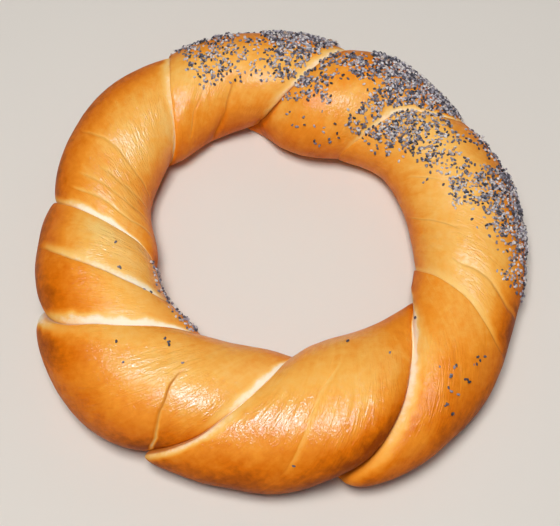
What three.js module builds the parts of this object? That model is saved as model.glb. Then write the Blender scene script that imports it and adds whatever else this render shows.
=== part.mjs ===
// Obwarzanek: two rolled ropes of dough, twisted round each other, closed to a ring, boiled and baked.
// One solid with the form of the whole bread: eight crossings of the two ropes, each a seam that runs
// from the outer edge over the top to the hole and on underneath, and a flat underside where it lay.
//
// Millimetres, +Z up. The origin is on the ground under the middle of the bread's box.
// A place on the skin is given by three things: the strand, how far across the strand, and the clock.
// The clock is the angle round the rope's own section, in degrees: 0 outer edge, 90 top, 180 hole, 270 under.

import * as THREE from 'three';

const { clamp, degToRad, euclideanModulo, lerp } = THREE.MathUtils;

// ---- Driving sizes ----

// The rope, at equal steps round the ring, counter-clockwise from +X.
const ROPE_RADII = [55, 55, 55, 53.7, 55, 61, 61, 58.5, 53.8, 57, 55.5, 52, 51, 53, 54.5, 55];
const ROPE_HALF_WIDTHS = [17, 16.7, 15, 17.7, 17, 14, 16, 15.5, 17.3, 19, 20.5, 19.5, 19.5, 21, 19, 16];
const LEAST_HEIGHT = 14; // the rope's height is this much and a share of its half width
const HEIGHT_PER_HALF_WIDTH = 0.8;
const AXIS_SHARE = 0.46; // height of the rope's widest line, over the rope's height
const FLAT_HALF_ANGLE = 35; // degrees each way from straight down that lie flat on the ground

// The seams, counter-clockwise. angles: round the ring, where the seam passes the outer edge, the
// shoulder, the top, the inner shoulder and the hole. The rest is given at the outer edge, the top and
// the hole. depths: of the groove. laps: which strand lies over the other, -1 the one before the seam,
// 1 the one after it. lips: over how much of its width the upper strand turns down to the seam.
// swell: how far the strand after the seam stands out.
const SEAMS = [
  { angles: [36, 38.8, 48.5, 54.5, 62], swell: 1.5,
    depths: [0.5, 2.5, 0.5], laps: [-1, -1, -1], lips: [9, 9, 9] },
  { angles: [70, 74, 82, 92, 97.5], swell: 1.5,
    depths: [1.2, 3, 5], laps: [-1, -1, -1], lips: [9, 9, 9] },
  { angles: [118, 119, 123.5, 129.5, 135.5], swell: 0,
    depths: [1.2, 1.8, 2], laps: [-1, -1, -1], lips: [9, 9, 9] },
  { angles: [166, 169, 173.5, 180, 190], swell: 1.5,
    depths: [2.5, 2.5, 1.5], laps: [0.3, 1, 1], lips: [9, 9, 9] },
  { angles: [195, 202, 209.5, 219.5, 234], swell: 0.5,
    depths: [4, 3, 2], laps: [0.5, 1, 1], lips: [4, 9, 9] },
  { angles: [238.5, 248, 258, 268.5, 281], swell: 1.5,
    depths: [2.8, 3.5, 3], laps: [1, 0.6, 1], lips: [3.5, 8, 9] },
  { angles: [285.5, 297, 310, 323.5, 338], swell: 0,
    depths: [5.5, 5, 3.5], laps: [1, -1, -1], lips: [3.5, 9, 9] },
  { angles: [331, 333, 339.5, 346, 352.5], swell: -0.5,
    depths: [0, 1.2, 1], laps: [-1, -1, -1], lips: [9, 9, 9] },
];
const ROPES = 2; // a seam that goes once round the section comes up again two seams further on
const UNDERNEATH_SHARES = [0.08, 0.5, 0.92]; // of the way a seam has gone, at three places underneath
const DEPTH_UNDERNEATH = 2.5;
const LIP_UNDERNEATH = 9;

const LIP_SHARE = 0.35; // a lip takes at most this share of its strand
const SLOPE_WIDTH = 17; // the strand below slopes down to the seam over this
const SLOPE_SHARE = 0.5;

// ---- How fine the faces are ----

const COLUMNS_PER_STRAND = 16;
const ROUND_ROWS = 28; // up the outer side, over the top and down into the hole
const FLAT_ROWS = 6;
const COLUMN_CROWDING = 0.65; // 0 spaces the columns evenly, 1 crowds them at the seams

const FULL_TURN = 360;
const QUARTER = 90;
const ROWS = ROUND_ROWS + FLAT_ROWS;
const COLUMNS = COLUMNS_PER_STRAND * SEAMS.length;
const FLAT_STRETCH = 1 / Math.cos(degToRad(FLAT_HALF_ANGLE));

// ---- Smooth values between the given ones ----

// The smooth curve through four even steps, at a share of the way from the second to the third.
function throughFour(before, from, to, after, share) {
  const straight = to - before;
  const bend = 2 * before - 5 * from + 4 * to - after;
  const turn = -before + 3 * from - 3 * to + after;
  return from + 0.5 * share * (straight + share * (bend + share * turn));
}

// A value given at equal steps round the ring, at any angle of it.
function roundTheRing(values, angle) {
  const place = (angle / FULL_TURN) * values.length;
  const step = Math.floor(place);
  const at = (index) => values[euclideanModulo(index, values.length)];
  return throughFour(at(step - 1), at(step), at(step + 1), at(step + 2), place - step);
}

// ---- The seams ----

// Seams are counted on past the eighth, each turn of the ring adding a full turn to their angles.
function seamAt(number) {
  const index = euclideanModulo(number, SEAMS.length);
  return { seam: SEAMS[index], turned: ((number - index) / SEAMS.length) * FULL_TURN };
}

// Each of these gives values at even steps round the rope's section, from the outer edge over the top
// and the hole to underneath, where a seam runs on to the outer edge of the one two further on.
function seamAngles(number) {
  const { seam, turned } = seamAt(number);
  const next = seamAt(number + ROPES);
  const shown = seam.angles.map((angle) => angle + turned);
  const comesUp = next.seam.angles[0] + next.turned;
  return [...shown, ...UNDERNEATH_SHARES.map((share) => lerp(shown.at(-1), comesUp, share))];
}

function seamDepths(number) {
  return [...seamAt(number).seam.depths, DEPTH_UNDERNEATH];
}

function seamLips(number) {
  return [...seamAt(number).seam.lips, LIP_UNDERNEATH];
}

function seamLaps(number) {
  const { laps } = seamAt(number).seam;
  return [...laps, (laps[2] + seamAt(number + ROPES).seam.laps[0]) / 2];
}

function strandSwells(number) {
  const { swell } = seamAt(number).seam;
  return [swell, swell, swell, (swell + seamAt(number + ROPES).seam.swell) / 2];
}

// Follows a seam or a strand round the rope. Past underneath come the values of the one two further on.
function alongSeam(valuesOf, number, clock) {
  const steps = valuesOf(number).length;
  const place = (clock / FULL_TURN) * steps;
  const step = Math.floor(place);
  const at = (index) => {
    const timesRound = Math.floor(index / steps);
    return valuesOf(number + ROPES * timesRound)[index - steps * timesRound];
  };
  return throughFour(at(step - 1), at(step), at(step + 1), at(step + 2), place - step);
}

// How far the skin has sunk at a distance from the seam, over the depth of the groove. lap is 1 where
// this strand lies over the other and turns down over its lip, -1 where it lies below.
function sunkShare(distance, strandWidth, lap, lipWidth) {
  const lip = clamp(1 - distance / Math.min(lipWidth, LIP_SHARE * strandWidth), 0, 1);
  const slope = clamp(1 - distance / Math.min(SLOPE_WIDTH, SLOPE_SHARE * strandWidth), 0, 1);
  const overShare = clamp((1 + lap) / 2, 0, 1);
  return lerp(slope * slope, 1 - Math.sqrt(1 - lip * lip), overShare);
}

// ---- The skin ----

function skinPoint(strand, across, clock) {
  const seamBefore = alongSeam(seamAngles, strand, clock);
  const seamAfter = alongSeam(seamAngles, strand + 1, clock);
  const ringAngle = lerp(seamBefore, seamAfter, across);
  const radius = roundTheRing(ROPE_RADII, ringAngle);
  const halfWidth = roundTheRing(ROPE_HALF_WIDTHS, ringAngle);
  const height = LEAST_HEIGHT + HEIGHT_PER_HALF_WIDTH * halfWidth;

  const strandWidth = degToRad(seamAfter - seamBefore) * radius;
  const sunkAt = (seam, distance, side) => {
    const lap = side * alongSeam(seamLaps, seam, clock);
    const lip = alongSeam(seamLips, seam, clock);
    return alongSeam(seamDepths, seam, clock) * sunkShare(distance, strandWidth, lap, lip);
  };
  const sunk =
    sunkAt(strand, across * strandWidth, 1) + sunkAt(strand + 1, (1 - across) * strandWidth, -1);
  const swell = alongSeam(strandSwells, strand, clock) * Math.sin(Math.PI * across);

  const axisHeight = height * AXIS_SHARE;
  const upward = Math.sin(degToRad(clock));
  const reach = new THREE.Vector2(
    halfWidth * Math.cos(degToRad(clock)),
    upward * (upward > 0 ? height - axisHeight : axisHeight * FLAT_STRETCH),
  );
  reach.setLength(reach.length() - sunk + swell);

  const fromMiddle = radius + reach.x;
  return new THREE.Vector3(
    fromMiddle * Math.cos(degToRad(ringAngle)),
    fromMiddle * Math.sin(degToRad(ringAngle)),
    Math.max(axisHeight + reach.y, 0),
  );
}

// Columns crowd towards the seams, where the skin bends most.
function acrossStrand(column) {
  const even = column / COLUMNS_PER_STRAND;
  return lerp(even, (1 - Math.cos(Math.PI * even)) / 2, COLUMN_CROWDING);
}

// Rows start straight under the rope and go up its outer side, with a row on each edge of the flat.
function clockOfRow(row) {
  const flatStep = (2 * FLAT_HALF_ANGLE) / FLAT_ROWS;
  const roundStep = (FULL_TURN - 2 * FLAT_HALF_ANGLE) / ROUND_ROWS;
  const roundStart = FLAT_HALF_ANGLE - QUARTER;
  if (row <= ROUND_ROWS) return roundStart + row * roundStep;
  return roundStart + ROUND_ROWS * roundStep + (row - ROUND_ROWS) * flatStep;
}

// ---- The solid ----

// The last row runs on into the first, two strands further on, so the twist closes on itself.
function corner(column, row) {
  const wrapped = row === ROWS ? column + ROPES * COLUMNS_PER_STRAND : column;
  return (wrapped % COLUMNS) * ROWS + (row % ROWS);
}

function breadGeometry() {
  const points = [];
  for (let column = 0; column < COLUMNS; column += 1) {
    const strand = Math.floor(column / COLUMNS_PER_STRAND);
    const across = acrossStrand(column % COLUMNS_PER_STRAND);
    for (let row = 0; row < ROWS; row += 1) {
      points.push(skinPoint(strand, across, clockOfRow(row)));
    }
  }

  const faces = [];
  for (let column = 0; column < COLUMNS; column += 1) {
    for (let row = 0; row < ROWS; row += 1) {
      const a = corner(column, row);
      const b = corner(column + 1, row);
      const c = corner(column + 1, row + 1);
      const d = corner(column, row + 1);
      const shorterAC = points[a].distanceTo(points[c]) < points[b].distanceTo(points[d]);
      faces.push(...(shorterAC ? [a, b, c, a, c, d] : [a, b, d, b, c, d]));
    }
  }

  const geometry = new THREE.BufferGeometry().setFromPoints(points);
  geometry.setIndex(faces);
  geometry.computeBoundingBox();
  const middle = geometry.boundingBox.getCenter(new THREE.Vector3());
  geometry.translate(-middle.x, -middle.y, -geometry.boundingBox.min.z);
  geometry.computeVertexNormals();
  return geometry;
}

const crust = new THREE.MeshStandardMaterial({ color: '#d98a35', roughness: 0.45, metalness: 0 });

const bread = new THREE.Mesh(breadGeometry(), crust);
bread.name = 'twisted_bread_ring';

const obwarzanek = new THREE.Group();
obwarzanek.add(bread);

export default obwarzanek;
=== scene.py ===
# %% [markdown]
# # Obwarzanek: a ring of twisted dough, boiled, baked and strewn with poppy seeds
#
# Two ropes of dough are twisted round each other and closed to a ring. The ring is boiled, which
# gives a tight and glossy skin, dipped in poppy seeds on one side, and baked. In the oven the dough
# swells and the ropes pull apart along their seams, so pale dough that was hidden there comes to light.
#
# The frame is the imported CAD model: one plain solid with the main form. It stays in charge of sizes,
# and everything made here is placed by its box, in metres, with +Z up.

import math
import random

import bmesh
import bpy
import numpy as np
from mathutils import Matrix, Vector, noise


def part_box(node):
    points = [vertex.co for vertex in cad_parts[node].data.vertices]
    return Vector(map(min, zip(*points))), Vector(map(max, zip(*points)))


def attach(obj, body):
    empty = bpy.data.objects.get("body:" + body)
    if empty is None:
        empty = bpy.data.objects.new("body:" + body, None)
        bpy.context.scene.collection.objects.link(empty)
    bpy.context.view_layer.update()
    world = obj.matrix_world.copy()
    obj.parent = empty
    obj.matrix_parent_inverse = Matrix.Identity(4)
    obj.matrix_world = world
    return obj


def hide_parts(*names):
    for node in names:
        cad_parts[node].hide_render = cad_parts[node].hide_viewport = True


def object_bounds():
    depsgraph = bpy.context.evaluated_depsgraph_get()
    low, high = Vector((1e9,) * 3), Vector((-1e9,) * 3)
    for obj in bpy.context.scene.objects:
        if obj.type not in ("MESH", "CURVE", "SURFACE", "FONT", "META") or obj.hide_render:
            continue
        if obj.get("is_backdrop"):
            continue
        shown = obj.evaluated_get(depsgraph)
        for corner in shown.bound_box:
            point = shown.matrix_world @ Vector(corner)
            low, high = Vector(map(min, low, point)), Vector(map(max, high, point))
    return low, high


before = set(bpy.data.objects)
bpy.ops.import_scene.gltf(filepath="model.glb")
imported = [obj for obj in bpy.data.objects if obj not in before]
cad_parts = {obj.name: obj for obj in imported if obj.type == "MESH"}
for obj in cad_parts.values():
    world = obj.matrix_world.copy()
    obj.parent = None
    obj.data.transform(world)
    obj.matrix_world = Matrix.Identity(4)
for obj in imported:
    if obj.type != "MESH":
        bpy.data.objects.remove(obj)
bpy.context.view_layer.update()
MM = 0.001
BREAD_NODE = "twisted_bread_ring"
BODY = "root"

# %% [markdown]
# ## The rope and its seams
#
# A place on the skin is given by three things: the strand, how far across the strand, and the clock,
# which is the angle round the rope's own section: 0 outer edge, 90 top, 180 hole, 270 under. The
# sizes below are the CAD model's own, so that the finished skin lies on the solid that collides.
# Another way would be to sculpt a torus, but a formula keeps each seam at a place with a name.

# %% Sizes of the rope
# Radii and half widths are given at equal steps round the ring, counter-clockwise from +X.
ROPE_RADII = MM * np.array([55, 55, 55, 53.7, 55, 61, 61, 58.5, 53.8, 57, 55.5, 52, 51, 53, 54.5, 55])
ROPE_HALF_WIDTHS = MM * np.array(
    [17, 16.7, 15, 17.7, 17, 14, 16, 15.5, 17.3, 19, 20.5, 19.5, 19.5, 21, 19, 16])
LEAST_HEIGHT = 14 * MM  # the rope's height is this much and a share of its half width
HEIGHT_PER_HALF_WIDTH = 0.8
AXIS_SHARE = 0.46  # height of the rope's widest line, over the rope's height
FLAT_HALF_ANGLE = 35  # degrees each way from straight down that lie flat on the ground
FLAT_STRETCH = 1 / math.cos(math.radians(FLAT_HALF_ANGLE))
print("the rope's width, mm:", (2 * ROPE_HALF_WIDTHS / MM).min(), "to", (2 * ROPE_HALF_WIDTHS / MM).max())

# %% Sizes of the seams
# Counter-clockwise. depths, laps, lips and hangs are given at the outer edge, the top and the hole, all
# else also at the two shoulders between, or once for all. angles: round the ring. In mm: the groove's
# depth, the lip that turns down to it, how far the strand on top hangs over it, and the width of the
# band of stretched dough. laps: -1 the strand before the seam lies over, 1 the one after it. sides:
# where the band shows, -1 before the seam, 1 after it. paleness: of the band, 1 is cream. lines: how
# sharp the groove's bottom is and how dark the painted shade in it is, 0 where it is filled with
# stretched dough. swell and browning (0 gold, 1 dark brown) belong to the strand that comes after the
# seam. browning is partly the oven's and partly painted shade: it is darker at the outer edge and at
# the hole, where the sides turn from the light. What a seam doesn't name is as in the usual one.
USUAL_SEAM = dict(laps=-1, lips=9, hangs=0.75, swell=1.5, sides=1)
SEAMS = [
    dict(USUAL_SEAM, angles=(36, 38.8, 48.5, 54.5, 62), depths=(0.5, 2.5, 0.5),
         bands=(1.2, 1.5, 2.3, 2.0, 0.5), paleness=(0.4, 0.6, 0.66, 0.55, 0),
         lines=(0.2, 0.9, 0.9, 0.3, 0), browning_and_shade=(0.85, 0.65, 0.35, 0.42, 0.7)),
    dict(USUAL_SEAM, angles=(70, 74, 82, 92, 97.5), depths=(1.2, 3, 5),
         bands=(2, 2.4, 2.8, 2.6, 2), paleness=(0.5, 0.6, 0.65, 0.45, 0.2),
         lines=(0.6, 0.9, 1, 1, 0.9), browning_and_shade=(0.85, 0.6, 0.28, 0.42, 0.7)),
    dict(USUAL_SEAM, angles=(118, 119, 123.5, 129.5, 135.5), depths=(1.2, 1.8, 2), swell=0,
         bands=(2.4, 2.4, 2.2, 1.8, 1.4), paleness=(0.4, 0.43, 0.52, 0.6, 0.65),
         lines=(0.2, 0.2, 0.1, 0.2, 0.3), browning_and_shade=(0.94, 0.78, 0.34, 0.36, 0.78)),
    dict(USUAL_SEAM, angles=(166, 169, 173.5, 180, 190), depths=(2.5, 2.5, 1.5), laps=(0.3, 1, 1),
         bands=(1.6, 1.8, 2.4, 1.8, 1), sides=(-0.8, -0.5, -1, -1, -1), paleness=(0.4, 0.5, 1, 0.9, 0.6),
         lines=(0.6, 0.4, 0.3, 0.8, 0.8), browning_and_shade=(0.92, 0.75, 0.31, 0.28, 0.58)),
    dict(USUAL_SEAM, angles=(195, 202, 209.5, 219.5, 234), depths=(4, 3, 2), laps=(0.5, 1, 1),
         lips=(4, 9, 9), swell=0.5, bands=(2, 2.6, 3.2, 3, 1.8), sides=(0.9, -0.2, -1, -1, -1),
         paleness=(1, 0.75, 0.95, 1, 0.85), lines=(0.8, 0.5, 0.5, 0.5, 0.6),
         browning_and_shade=(0.8, 0.64, 0.27, 0.36, 0.7)),
    dict(USUAL_SEAM, angles=(238.5, 248, 258, 268.5, 281), depths=(2.8, 3.5, 3), laps=(1, 0.6, 1),
         lips=(3.5, 8, 9), hangs=(0.9, 0.75, 0.75), bands=(1.5, 1.8, 2.8, 2.3, 1.6),
         sides=(1, 1, -0.4, -1, -1), paleness=(0.45, 0.65, 1, 0.95, 0.6), lines=(1, 0.9, 0.3, 0.3, 0.5),
         browning_and_shade=(0.9, 0.72, 0.27, 0.36, 0.72)),
    dict(USUAL_SEAM, angles=(285.5, 297, 310, 323.5, 338), depths=(5.5, 5, 3.5), laps=(1, -1, -1),
         lips=(3.5, 9, 9), hangs=(1.1, 0.75, 0.75), swell=0, bands=(1.8, 3.2, 3, 5, 5),
         paleness=(0.22, 0.42, 0.8, 1, 1), lines=(1, 1, 0.4, 0, 0.3),
         browning_and_shade=(0.88, 0.74, 0.4, 0.5, 0.82)),
    dict(USUAL_SEAM, angles=(331, 333, 339.5, 346, 352.5), depths=(0, 1.2, 1), swell=-0.5,
         bands=(1, 2.2, 2.6, 2.2, 1.8), paleness=(0, 0.2, 0.35, 0.35, 0.3),
         lines=(0, 0.1, 0.1, 0.1, 0.2), browning_and_shade=(0.85, 0.48, 0.17, 0.33, 0.6)),
]
STRANDS = len(SEAMS)
print("seams, each with the strand after it:", STRANDS)

# %% Carry the seams' values on underneath
ROPES = 2  # a seam that goes once round the section comes up again two seams further on
SHOWN_PLACES = 5  # outer edge, shoulder, top, inner shoulder and hole
MAIN_PLACES = 3  # outer edge, top and hole
UNDERNEATH_SHARES = np.array([0.08, 0.5, 0.92])  # of the way a seam has gone, at three places there
DEPTH_UNDERNEATH = 2.5  # mm
LIP_UNDERNEATH = 9  # mm
FULL_TURN = 360
QUARTER = 90


def shown_values(name, places):
    """A row for each seam: its values where the skin shows."""
    return np.array([np.broadcast_to(seam[name], places) for seam in SEAMS], float)


def eight_values(name, turn=0):
    """A row for each seam, at even steps round the section. Underneath it nears the one two further on."""
    shown = shown_values(name, SHOWN_PLACES)
    comes_up = np.roll(shown[:, 0], -ROPES)
    comes_up[-ROPES:] += turn
    gone = (comes_up - shown[:, -1])[:, None] * UNDERNEATH_SHARES
    return np.hstack([shown, shown[:, -1:] + gone])


def four_values(name, underneath=None, unit=1.0):
    """A row for each seam: its value at the outer edge, the top, the hole and underneath."""
    shown = shown_values(name, MAIN_PLACES)
    below = (shown[:, -1] + np.roll(shown[:, 0], -ROPES)) / 2
    if underneath is not None:
        below = np.full(STRANDS, underneath)
    return np.column_stack([shown, below]) * unit


ANGLES = eight_values("angles", FULL_TURN)
DEPTHS = four_values("depths", DEPTH_UNDERNEATH, MM)
LIPS = four_values("lips", LIP_UNDERNEATH, MM)
HANGS = four_values("hangs", unit=MM)
LAPS = four_values("laps")
BANDS = eight_values("bands") * MM
SIDES = eight_values("sides")
PALENESS = eight_values("paleness")
LINES = eight_values("lines")
SWELLS = four_values("swell", unit=MM)
BROWNING_AND_SHADE = eight_values("browning_and_shade")
print("widest gap between two seams on top:", np.diff(ANGLES[:, 2]).max(), "degrees")

# %% Follow a seam round the rope


def through_four(before, start, end, after, share):
    """The smooth curve through four even steps, between the second and the third."""
    straight = end - before
    bend = 2 * before - 5 * start + 4 * end - after
    turn = -before + 3 * start - 3 * end + after
    return start + 0.5 * share * (straight + share * (bend + share * turn))


def round_the_ring(values, angle):
    """A value given at equal steps round the ring, at any angle of it."""
    place = np.asarray(angle) / FULL_TURN * len(values)
    step = np.floor(place).astype(int)
    knots = [values[(step + offset) % len(values)] for offset in (-1, 0, 1, 2)]
    return through_four(*knots, place - step)


def along_seam(rows, number, clock, turn=0):
    """Follows a seam or strand round the rope. Past underneath it goes on as the one two further on."""
    steps = rows.shape[1]
    place = np.asarray(clock) / FULL_TURN * steps
    step = np.floor(place).astype(int)

    def knot(index):
        rounds, part = np.divmod(index, steps)
        turns, seam = np.divmod(number + ROPES * rounds, STRANDS)
        return rows[seam, part] + turn * turns

    return through_four(*(knot(step + offset) for offset in (-1, 0, 1, 2)), place - step)


def smooth(low, high, value):
    """0 below low, 1 above high, and an even curve between."""
    share = np.clip((value - low) / (high - low), 0, 1)
    return share * share * (3 - 2 * share)


top_of_seams = along_seam(ANGLES, np.arange(STRANDS), QUARTER, FULL_TURN)
print("seams pass the top at", top_of_seams.round(1))

# %% [markdown]
# ## The finer form of the skin
#
# The solid has the twist and its grooves. A real skin has more: each seam wanders a little, the strand
# on top hangs over the one below by about a millimetre, and the skin has soft lumps and folds of its
# own that run along the strands. They could be painted with bump, but then they would vanish from
# the mesh and its outline, so all that is wider than about a millimetre is moved in the mesh.

# %% Folds in the skin
# Each fold lies in one strand. path: pairs of clock and of how far across the strand it lies. step, in
# mm: how far the skin drops there, towards the strand after (lap -1) or the strand before (lap 1).
# line: how dark the painted shade in its crease is. bands, in mm: how wide it is pale on its lower side.
# Pairs of values are for the start and the end of its path.
FOLDS = [
    dict(strand=1, path=((112, 0.48), (126, 0.47), (158, 0.46), (200, 0.48)), step=1.2, lap=-1, line=0.6,
         bands=0.5, paleness=0.1),
    dict(strand=1, path=((116, 0.72), (126, 0.74), (136, 0.80), (165, 0.84)), step=0.5, lap=-1, line=0.5,
         bands=0.5, paleness=0.15),
    dict(strand=2, path=((52, 0.60), (82, 0.53), (108, 0.49), (132, 0.47), (165, 0.42)), step=0.4, lap=1,
         line=0.3, bands=0.6, paleness=0.2),
    dict(strand=2, path=((95, 0.68), (125, 0.63), (160, 0.55)), step=0.2, lap=1, line=0.2, bands=0.5,
         paleness=0.2),
    dict(strand=2, path=((72, 0.79), (100, 0.76), (130, 0.73), (160, 0.66)), step=0.25, lap=1, line=0.25,
         bands=0.6, paleness=0.2),
    dict(strand=2, path=((64, 0.89), (96, 0.86), (132, 0.85), (160, 0.77)), step=0.3, lap=1,
         line=0.25, bands=0.7, paleness=0.3),
    dict(strand=3, path=((30, 0.42), (60, 0.45), (90, 0.49), (120, 0.54), (150, 0.57)), step=0.5, lap=1,
         line=0.4, bands=(1.4, 3.2), paleness=(0.2, 0.95)),
    dict(strand=4, path=((6, 0.97), (34, 0.86), (50, 0.77), (62, 0.70), (72, 0.65), (86, 0.57), (96, 0.53)),
         step=0.6, lap=-1, line=(0.2, 1), bands=0.5, paleness=(0.6, 0)),
    dict(strand=5, path=((34, 0.52), (56, 0.47), (76, 0.43), (96, 0.42), (118, 0.50)), step=0.3, lap=-1,
         line=0.05, bands=1.1, paleness=(0.15, 0.25)),
    dict(strand=7, path=((10, 0.17), (40, 0.16), (76, 0.15), (104, 0.13)), step=0.7, lap=-1, line=0.4,
         bands=0.9, paleness=0.2),
    dict(strand=7, path=((108, 0.30), (140, 0.33), (170, 0.36)), step=0.2, lap=-1, line=0.4, bands=0.6,
         paleness=0.2),
    dict(strand=7, path=((110, 0.56), (124, 0.59), (140, 0.62)), step=0.2, lap=-1, line=0.3, bands=0.8,
         paleness=0.3),
]
FOLD_WAVES = [(0.003, 9), (0.001, 3.5)]  # a share of the strand, and degrees of clock


def fold_across(fold, clock):
    """How far across its strand a fold lies at a clock. It is never quite straight."""
    place = np.interp(clock, *zip(*fold["path"]))
    for sway, slowness in FOLD_WAVES:
        place = place + sway * np.sin(clock / slowness)
    return place


print("folds:", len(FOLDS))

# %% Crumpled places
# The skin is crumpled there into fine ridges along the strand: strand, across, clock, how far it
# reaches in across and in clock, and the height of the ridges in mm.
CRUMPLES = [
    (4, 0.40, 100, 0.11, 18, 0.6),
    (4, 0.80, 72, 0.14, 22, 0.22),
    (4, 0.46, 32, 0.15, 20, 0.38),
    (5, 0.25, 78, 0.20, 20, 0.3),
    (5, 0.44, 86, 0.07, 36, 0.4),
    (5, 0.66, 78, 0.20, 24, 0.34),
    (2, 0.70, 140, 0.20, 34, 0.3),
    (2, 0.86, 90, 0.10, 40, 0.35),
    (2, 0.35, 118, 0.25, 26, 0.2),
    (1, 0.75, 120, 0.20, 40, 0.2),
    (3, 0.20, 110, 0.15, 30, 0.2),
    (7, 0.20, 120, 0.18, 40, 0.2),
    (6, 0.40, 50, 0.22, 30, 0.16),
]
print("crumpled places:", len(CRUMPLES))

# %% How the seams stray
SEAM_WANDER = 0.45 * MM
WANDER_WAVES = [(3, 0.5), (5, 0.32), (9, 0.18)]  # waves round the section, and their share
WAVES_APART = 2.4  # each seam's waves start elsewhere
NOISE_SHIFTS = (17.3, 5.9, 11.1)


def noise_at(places, size, seed=0.0):
    """Smooth noise from about -1 to 1, with lumps of the given size."""
    shift = Vector([seed * step for step in NOISE_SHIFTS])
    return np.array([noise.noise(Vector(place) / size + shift) for place in places])


def seam_wander(number, clock):
    """How far a seam strays sideways at a clock. Two rounds on, it is another seam's wander."""
    rounds = np.floor((clock + QUARTER) / FULL_TURN).astype(int)
    seam = (number + ROPES * rounds) % STRANDS
    within = np.radians(clock)
    wander = np.zeros(np.shape(clock))
    for waves, share in WANDER_WAVES:
        wander += share * np.sin(waves * within + WAVES_APART * seam * waves + waves * waves)
    calm_underneath = 0.5 + 0.5 * np.sin(within)
    return SEAM_WANDER * wander * calm_underneath


straying = seam_wander(np.zeros(FULL_TURN, int), np.arange(FULL_TURN) - QUARTER)
print("the first seam strays, mm:", (straying.min() / MM).round(2), "to", (straying.max() / MM).round(2))

# %% The skin as one function
LIP_SHARE = 0.35  # a lip takes at most this share of its strand
SLOPE_WIDTH = 17 * MM  # the strand below slopes down to the seam over this
SLOPE_SHARE = 0.5


def sunk_share(distance, strand_width, lap, lip_width):
    """How far the skin has sunk at a distance from the seam, over the depth of the groove."""
    lip = np.clip(1 - distance / np.minimum(lip_width, LIP_SHARE * strand_width), 0, 1)
    slope = np.clip(1 - distance / np.minimum(SLOPE_WIDTH, SLOPE_SHARE * strand_width), 0, 1)
    over = np.clip((1 + lap) / 2, 0, 1)
    return slope * slope * (1 - over) + (1 - np.sqrt(1 - lip * lip)) * over


def rope_section(angle):
    """Radius of the rope's middle, its half width, its height and the height of its widest line."""
    radius = round_the_ring(ROPE_RADII, angle)
    half_width = round_the_ring(ROPE_HALF_WIDTHS, angle)
    height = LEAST_HEIGHT + HEIGHT_PER_HALF_WIDTH * half_width
    return radius, half_width, height, height * AXIS_SHARE


def plain_skin(strand, across, clock):
    """The CAD model's own skin: ring angle, the strand's width, how its two seams lap, sunk depth."""
    seam_before = along_seam(ANGLES, strand, clock, FULL_TURN)
    seam_after = along_seam(ANGLES, strand + 1, clock, FULL_TURN)
    angle = seam_before + (seam_after - seam_before) * across
    width = np.radians(seam_after - seam_before) * rope_section(angle)[0]
    laps = []
    sunk = 0
    for number, share, side in ((strand, across, 1), (strand + 1, 1 - across, -1)):
        lap = side * along_seam(LAPS, number, clock)
        lip = along_seam(LIPS, number, clock)
        sunk = sunk + along_seam(DEPTHS, number, clock) * sunk_share(share * width, width, lap, lip)
        laps.append(lap)
    sunk = sunk - along_seam(SWELLS, strand, clock) * np.sin(np.pi * across)
    return angle, width, *laps, sunk


def on_the_ring(from_middle, angle, level):
    """Places at a distance from the ring's middle, at a ring angle and a height."""
    turned = np.radians(angle)
    return np.column_stack([from_middle * np.cos(turned), from_middle * np.sin(turned), level])


def to_place(angle, clock, sunk):
    """Turns ring angle, clock and sunk depth into a place, with the underside flat on the ground."""
    radius, half_width, height, axis = rope_section(angle)
    upward = np.sin(np.radians(clock))
    out = half_width * np.cos(np.radians(clock))
    up = upward * np.where(upward > 0, height - axis, axis * FLAT_STRETCH)
    reach = np.hypot(out, up)
    share = (reach - sunk) / reach
    return on_the_ring(radius + out * share, angle, np.maximum(axis + up * share, 0))


top_of_rope = rope_section(np.arange(FULL_TURN))[2]
print("the rope's height, mm:", (top_of_rope.min() / MM).round(1), "to", (top_of_rope.max() / MM).round(1))

# %% Lay a grid over the skin
COLUMNS_PER_STRAND = 84
ROUND_ROWS = 128  # up the outer side, over the top and down into the hole
FLAT_ROWS = 16
COLUMN_CROWDING = 0.5  # 0 spaces the columns evenly, 1 crowds them at seams and folds
ROWS = ROUND_ROWS + FLAT_ROWS
COLUMNS = COLUMNS_PER_STRAND * STRANDS
START_CLOCK = -QUARTER  # the skin is closed straight underneath
LEAVES_GROUND = (-60, -25)  # degrees of clock over which the finer form comes and goes
MEETS_GROUND = (205, 240)


def clock_steps():
    """Rows from straight underneath and up the outer side, with a row on each edge of the flat."""
    flat = np.linspace(0, FLAT_HALF_ANGLE, FLAT_ROWS // 2, endpoint=False)
    rounded = np.linspace(FLAT_HALF_ANGLE, FULL_TURN - FLAT_HALF_ANGLE, ROUND_ROWS, endpoint=False)
    last = np.linspace(FULL_TURN - FLAT_HALF_ANGLE, FULL_TURN, FLAT_ROWS // 2 + 1)
    return START_CLOCK + np.concatenate([flat, rounded, last])


CLOCKS = clock_steps()


def above_the_ground(clock):
    """1 where the skin shows, 0 where it lies on the ground."""
    return smooth(*LEAVES_GROUND, clock) * (1 - smooth(*MEETS_GROUND, clock))


def crowded_steps(count):
    """Even steps from 0 to 1, drawn a little towards both ends."""
    even = np.arange(count + 1) / count
    return even + ((1 - np.cos(np.pi * even)) / 2 - even) * COLUMN_CROWDING


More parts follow.
